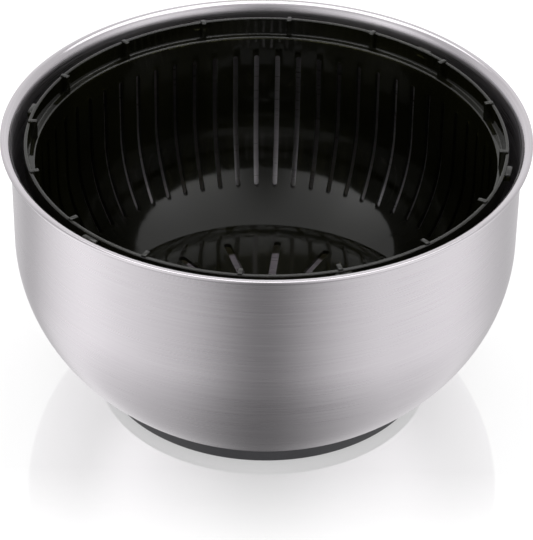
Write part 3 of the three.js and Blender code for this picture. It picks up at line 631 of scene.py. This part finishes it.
carrierSizes = {
    "radius": 117.8, "low": 143.6, "top": 146, "edge": 0.6, "hub": 11, "hubLow": 140, "steps": 144,
    "raisedRings": [36, 102], "ringWidth": 2, "ringHeight": 0.7,
    "dogs": 4, "dogIn": 113, "dogOut": 117, "dogHalf": 3.5, "dogLow": 136.2, "dogTop": 145.5,
    "vents": 12, "ventIn": 42, "ventOut": 98, "ventHalf": 2.5, "phase": 50.75,
    "square": 3.3, "squareLow": 142.3, "screwHole": 1.8,
}


def carrierPiece():
    s = carrierSizes
    corners = [[0, s["hubLow"]], [s["hub"], s["hubLow"], 0.8], [s["hub"], s["low"], 1.2]]
    lower = s["low"] - s["ringHeight"]
    for ring in s["raisedRings"]:
        corners += [[ring, s["low"], 0.4], [ring + 0.4, lower, 0.3],
                    [ring + s["ringWidth"], lower, 0.3], [ring + s["ringWidth"] + 0.4, s["low"], 0.4]]
    corners += [[s["radius"], s["low"], s["edge"]], [s["radius"], s["top"], s["edge"]], [0, s["top"]]]
    obj = newObject("carrierPlate", turned(corners, s["steps"]))

    def dog():
        return block(s["dogIn"], s["dogOut"], s["dogHalf"], s["dogLow"], s["dogTop"], 0.6, 3)

    def vent():
        bm = block(s["ventIn"], s["ventOut"], s["ventHalf"], s["low"] - 1.6, s["top"] + 1, 0)
        roundEdges(bm, s["ventHalf"] - 0.1, lambda e: abs((e.verts[0].co - e.verts[1].co).z) > 1 * mm, 6)
        return bm
    combined(obj, around(bmesh.new(), dog, s["dogs"], s["phase"]), "UNION")
    cuts = around(bmesh.new(), vent, s["vents"], s["phase"])
    addTo(cuts, block(-s["square"], s["square"], s["square"], s["squareLow"], s["top"] + 1, 0))
    addTo(cuts, cylinder(s["screwHole"], s["hubLow"] - 1, 143, 0, 24))
    combined(obj, cuts, "DIFFERENCE")
    return finishPiece(obj, smoke, "carrier", ["carrier_disc"], onLid=True)


# the stem, the cap and the shallow dish in its top
brakeSizes = {
    "profile": [[0, 156.3], [1.9, 156.3], [1.9, 152.3], [3.8, 152.3, 0.5], [3.8, 170, 0.6], [14.6, 170, 0.5],
                [14.6, 174, 1.3], [11.2, 174, 0.8], [9.6, 173.2, 0.6], [0, 172.9]],
    "steps": 64,
}


def brakePiece():
    button = turned(brakeSizes["profile"], brakeSizes["steps"])
    obj = newObject("brakeCap", addTo(bmesh.new(), button, 0, brakePlace))
    return finishPiece(obj, greyShell, "brake", ["brake_button"], onLid=True)


def lockPiece():
    s = lockSizes
    thumb = block(s["start"], s["end"], *s["thumb"], 0.8, 3)
    obj = newObject("lockThumb", addTo(bmesh.new(), thumb, s["turn"], leverPlace))
    neck = block(s["start"], s["end"], *s["neck"], 0)
    combined(obj, addTo(bmesh.new(), neck, s["turn"], leverPlace), "UNION")
    foot = block(s["start"], s["end"], *s["foot"], 0.3)
    combined(obj, addTo(bmesh.new(), foot, s["turn"], leverPlace), "UNION")
    grooves = bmesh.new()
    for i in range(s["grooves"]):
        middle = s["start"] + s["firstGroove"] + s["grooveStep"] * i
        addTo(grooves, block(middle - 0.5, middle + 0.5, 5, s["grooveLow"], 174, 0), s["turn"], leverPlace)
    combined(obj, grooves, "DIFFERENCE")
    return finishPiece(obj, greyShell, "lock", ["lock_slider"], onLid=True)


def brakeCoilPiece():
    bm = bmesh.new()
    bm.from_mesh(frame["nodes"]["brake_spring"].data)
    bmesh.ops.remove_doubles(bm, verts=bm.verts, dist=1e-6)
    obj = finishPiece(newObject("brakeCoil", bm), springSteel, "lid", ["brake_spring"])
    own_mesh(obj)


# head and shank are radii, and the seat is where the head bears in the closed lid
carrierScrewSizes = {"head": 4.8, "headHeight": 1.8, "seat": 139.7, "bite": 9, "shank": 1.5}
coverScrewSizes = {"head": 3.4, "headHeight": 1.0, "seat": 147.2, "bite": 8, "shank": 1.5}


# A pan-head screw with a six-sided recess, its head down.
def screwPiece(name, node, body, s):
    place = closedPlace(node)[:2]
    head, shank, seat = s["head"], s["shank"], s["seat"]
    low = seat - s["headHeight"]
    tip = seat + s["bite"]
    corners = [[0, low], [head, low, 0.7], [head, seat, 0.2], [shank, seat], [shank, tip, 0.3], [0, tip]]
    obj = newObject(name, addTo(bmesh.new(), turned(corners, 40), 0, place))
    recess = addTo(bmesh.new(), cylinder(0.42 * head, low - 1, low + 0.5 * s["headHeight"], 0, 6), 0, place)
    combined(obj, recess, "DIFFERENCE")
    return finishPiece(obj, zincSteel, body, [node], onLid=True)


lidPiece()
gasketPiece()
leverPiece()
gripPiece()
carrierPiece()
brakePiece()
brakeCoilPiece()
lockPiece()
screwPiece("carrierScrew", "carrier_screw", "carrier", carrierScrewSizes)
for screw in coverScrews:
    screwPiece("coverScrew" + screw[-1], screw, "lid", coverScrewSizes)


# shapes that stay as they are, with their finishes
nodeFinishes = {
    "pivot_hub": acetal, "lever_bush": acetal, "gear_segment": acetal, "idler_gear": acetal,
    "drive_pinion": acetal, "shaft_bush_upper": acetal, "shaft_bush_lower": acetal,
    "lever_spring": springSteel, "idler_axle": springSteel, "segment_screw": zincSteel,
    "gearbox_cover": greyShell, "brake_pad": softBlack,
}


def finishNodes():
    for name, material in nodeFinishes.items():
        for slot in frame["nodes"][name].material_slots:
            slot.material = material


finishNodes()

# the bowl's wall mirrors the studio, not the lid beside it
lidBodies = ("lid", "lever", "idler", "carrier", "brake", "lock")
for shown in bpy.data.objects:
    if shown.type == "MESH" and shown.get("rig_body") in lidBodies:
        shown.visible_glossy = False


# Polished white acrylic with a glow of its own, which shows the bowl faintly upside down. The mirroring fades out
# from mirrorNear to mirrorEnd, in metres from the bowl's middle along Y, and along X less mirrorSides.
stageLook = {
    "floorSide": 12.0, "white": 0.62, "glow": 0.65,
    "mirror": 0.36, "mirrorNear": 0.092, "mirrorEnd": 0.165, "mirrorSides": 0.06,
}


def whiteFloor():
    bm = bmesh.new()
    bmesh.ops.create_grid(bm, x_segments=1, y_segments=1, size=stageLook["floorSide"] / 2)
    bmesh.ops.translate(bm, vec=(0, 0, -0.2 * mm), verts=bm.verts)
    floor = newObject("floor", bm)
    material = bpy.data.materials.new("acrylicWhitePolished")
    material.use_nodes = True
    tree = material.node_tree
    tree.nodes.clear()
    place = addNode(tree, "ShaderNodeTexCoord").outputs["Object"]
    parts = addNode(tree, "ShaderNodeSeparateXYZ", {0: place})
    along = addNode(tree, "ShaderNodeMath", {0: parts.outputs[0]}, operation="ABSOLUTE").outputs[0]
    beside = addNode(tree, "ShaderNodeMath", {0: along, 1: stageLook["mirrorSides"]},
                     operation="SUBTRACT").outputs[0]
    ahead = addNode(tree, "ShaderNodeMath", {0: parts.outputs[1]}, operation="ABSOLUTE").outputs[0]
    away = addNode(tree, "ShaderNodeMath", {0: beside, 1: ahead}, operation="MAXIMUM").outputs[0]
    mirror = ranged(tree, away, stageLook["mirrorEnd"], stageLook["mirrorNear"], 0, stageLook["mirror"])
    matt = addNode(tree, "ShaderNodeBsdfDiffuse", {"Color": [stageLook["white"]] * 3 + [1]}).outputs[0]
    glow = addNode(tree, "ShaderNodeEmission", {
        "Color": (1, 1, 1, 1), "Strength": stageLook["glow"]}).outputs[0]
    lit = addNode(tree, "ShaderNodeAddShader", {0: matt, 1: glow}).outputs[0]
    gloss = addNode(tree, "ShaderNodeBsdfGlossy", {"Color": (1, 1, 1, 1), "Roughness": 0.03}).outputs[0]
    surface = addNode(tree, "ShaderNodeMixShader", {0: mirror, 1: lit, 2: gloss}).outputs[0]
    addNode(tree, "ShaderNodeOutputMaterial", {"Surface": surface})
    floor.data.materials.append(material)
    floor.visible_glossy = False  # the bowl's wall mirrors the studio, not the floor
    return floor


# The studio round the bowl: dark towards the camera and bright at both sides, as (degrees to the right of the
# front, brightness).
studioRound = [(-180, 1.0), (-108, 0.72), (-93, 0.6), (-80, 0.8), (-55, 1.32), (-41, 1.1), (-30, 0.93),
               (-17, 0.66), (0, 0.22), (17, 0.66), (30, 1.0), (37, 1.02), (56, 1.15), (69, 1.0), (82, 0.77),
               (108, 0.66), (180, 1.0)]
studioTop = 0.6
studioStrength = 1.6


def softStudio():
    world = bpy.data.worlds.new("studio")
    world.use_nodes = True
    tree = world.node_tree
    tree.nodes.clear()
    way = addNode(tree, "ShaderNodeTexCoord").outputs["Generated"]
    parts = addNode(tree, "ShaderNodeSeparateXYZ", {0: way})
    # below the horizon the dark front reaches under the bowl
    down = addNode(tree, "ShaderNodeMath", {0: parts.outputs[2], 1: 0.0}, operation="MINIMUM").outputs[0]
    back = addNode(tree, "ShaderNodeMath", {0: parts.outputs[1], 1: down}, operation="ADD").outputs[0]
    front = addNode(tree, "ShaderNodeMath", {0: back, 1: -1.0}, operation="MULTIPLY").outputs[0]
    turn = addNode(tree, "ShaderNodeMath", {0: parts.outputs[0], 1: front}, operation="ARCTAN2").outputs[0]
    ramp = addNode(tree, "ShaderNodeValToRGB", {0: ranged(tree, turn, -math.pi, math.pi, 0, 1)})
    ramp.color_ramp.interpolation = "CARDINAL"
    stops = ramp.color_ramp.elements
    for degrees, brightness in studioRound[1:-1]:
        stops.new(degrees / 360 + 0.5)
    for stop, (degrees, brightness) in zip(stops, studioRound):
        grey = brightness / studioStrength
        stop.color = (grey, grey, grey, 1)
    high = ranged(tree, parts.outputs[2], 0.45, 0.85, 0, 1)
    top = [studioTop / studioStrength] * 3 + [1]
    colour = mixedColour(tree, high, ramp.outputs[0], top)
    # what shines up from straight below is dimmer
    strength = ranged(tree, parts.outputs[2], -0.92, -0.62, 0.7 * studioStrength, studioStrength)
    light = addNode(tree, "ShaderNodeBackground", {"Color": colour, "Strength": strength}).outputs[0]
    addNode(tree, "ShaderNodeOutputWorld", {"Surface": light})
    bpy.context.scene.world = world


overheadLight = {"watts": 9, "size": (1.6, 1.2), "place": (0.1, 0.35, 1.5), "aim": (0, 0, 0.05)}


def softBox(name, watts, size, place, aim):
    data = bpy.data.lights.new(name, "AREA")
    data.shape = "RECTANGLE"
    data.size, data.size_y = size
    data.energy = watts
    light = bpy.data.objects.new(name, data)
    light.location = place
    light.rotation_euler = (Vector(aim) - Vector(place)).to_track_quat("-Z", "Y").to_euler()
    bpy.context.scene.collection.objects.link(light)
    return light


# metres, degrees and, for the lens, millimetres
cameraSizes = {"distance": 1.3388, "rise": 35.09, "aim": 0.0574, "roll": 0.7745, "lens": 172.58,
               "shift": 0.0032}


def setCamera():
    s = cameraSizes
    rise = math.radians(s["rise"])
    aim = Vector((0, 0, s["aim"]))
    place = aim + s["distance"] * Vector((0, -math.cos(rise), math.sin(rise)))
    data = bpy.data.cameras.new("camera")
    data.lens = s["lens"]
    data.shift_x = s["shift"]
    data.clip_end = 50
    camera = bpy.data.objects.new("camera", data)
    facing = (aim - place).to_track_quat("-Z", "Y").to_matrix().to_4x4()
    roll = Matrix.Rotation(math.radians(s["roll"]), 4, "Z")
    camera.matrix_world = Matrix.Translation(place) @ facing @ roll
    bpy.context.scene.collection.objects.link(camera)
    bpy.context.scene.camera = camera


whiteFloor()
softStudio()
softBox("overhead", **overheadLight)
setCamera()
bpy.context.scene.view_settings.view_transform = "Standard"
print("stage, light and camera set")
